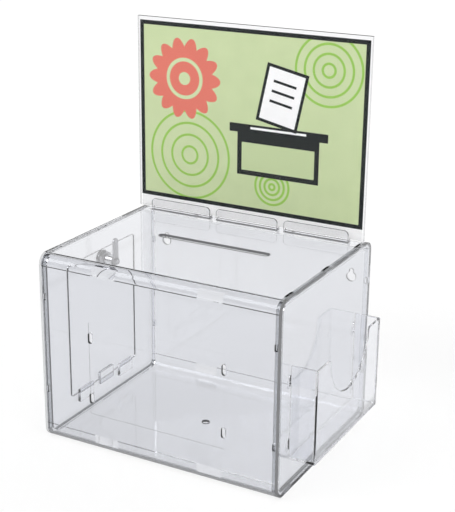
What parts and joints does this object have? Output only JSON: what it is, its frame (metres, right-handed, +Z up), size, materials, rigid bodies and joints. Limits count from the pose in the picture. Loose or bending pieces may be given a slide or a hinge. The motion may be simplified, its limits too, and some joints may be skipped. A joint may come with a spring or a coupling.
{
  "type": "ballot box",
  "caption": "Clear plastic ballot box with a top slot, a lockable tilt-out end door, a hang-on brochure pocket and a clear header sleeve with a printed card.",
  "frame": {"origin": "middle of the underside of the box body, where it stands on the counter; the pocket and the lock head stand outside that body on either side", "axes": "+X to the viewer's right with the front panel facing the viewer (the pocket end), +Y to the back (the header end), +Z up"},
  "size_m": [0.3165, 0.222, 0.438],
  "materials": {
    "clear_panel": "clear, polished, moulded",
    "clear_clip": "clear, polished",
    "clear_pocket": "clear, polished, moulded",
    "clear_sheet": "clear, polished sheet",
    "printed_card": "printed card, satin",
    "lock_chrome": "bright plated",
    "lock_steel": "zinc plated, satin",
    "lock_brass": "satin",
    "spring_steel": "satin"
  },
  "bodies": {
    "box": {"lid": "clear_panel", "base_tray": "clear_panel", "front_panel": "clear_panel", "back_panel": "clear_panel", "left_end_panel": "clear_panel", "right_end_panel": "clear_panel", "header_clip_left": "clear_clip", "header_clip_centre": "clear_clip", "header_clip_right": "clear_clip"},
    "door": {"door": "clear_panel", "lock_housing": "lock_chrome", "lock_spur_washer": "lock_steel", "lock_nut": "lock_steel"},
    "lock_cam": {"lock_plug": "lock_chrome", "lock_wafers": "lock_brass", "lock_wafer_springs": "spring_steel", "lock_stop_washer": "lock_steel", "lock_cam": "lock_steel", "lock_tooth_washer": "lock_steel", "lock_cam_screw": "lock_steel"},
    "pocket": {"brochure_pocket": "clear_pocket"},
    "header": {"sign_sleeve": "clear_sheet"},
    "card": {"sign_insert": "printed_card"}
  },
  "joints": [
    {"name": "door_tilt", "type": "hinge", "parent": "box", "child": "door", "pos_m": [-0.1425, 0.0025, 0.029], "axis": [0, -1, 0], "range_deg": [0, 50]},
    {"name": "cam_turn", "type": "hinge", "parent": "door", "child": "lock_cam", "pos_m": [-0.1217, 0.0025, 0.1725], "axis": [1, 0, 0], "range_deg": [0, 90]},
    {"name": "pocket_lift", "type": "slide", "parent": "box", "child": "pocket", "axis": [0, 0, 1], "range_m": [0, 0.0055]},
    {"name": "header_lift", "type": "slide", "parent": "box", "child": "header", "axis": [0, 0, 1], "range_m": [0, 0.02]},
    {"name": "card_lift", "type": "slide", "parent": "header", "child": "card", "axis": [0, 0, 1], "range_m": [0, 0.222]}
  ]
}
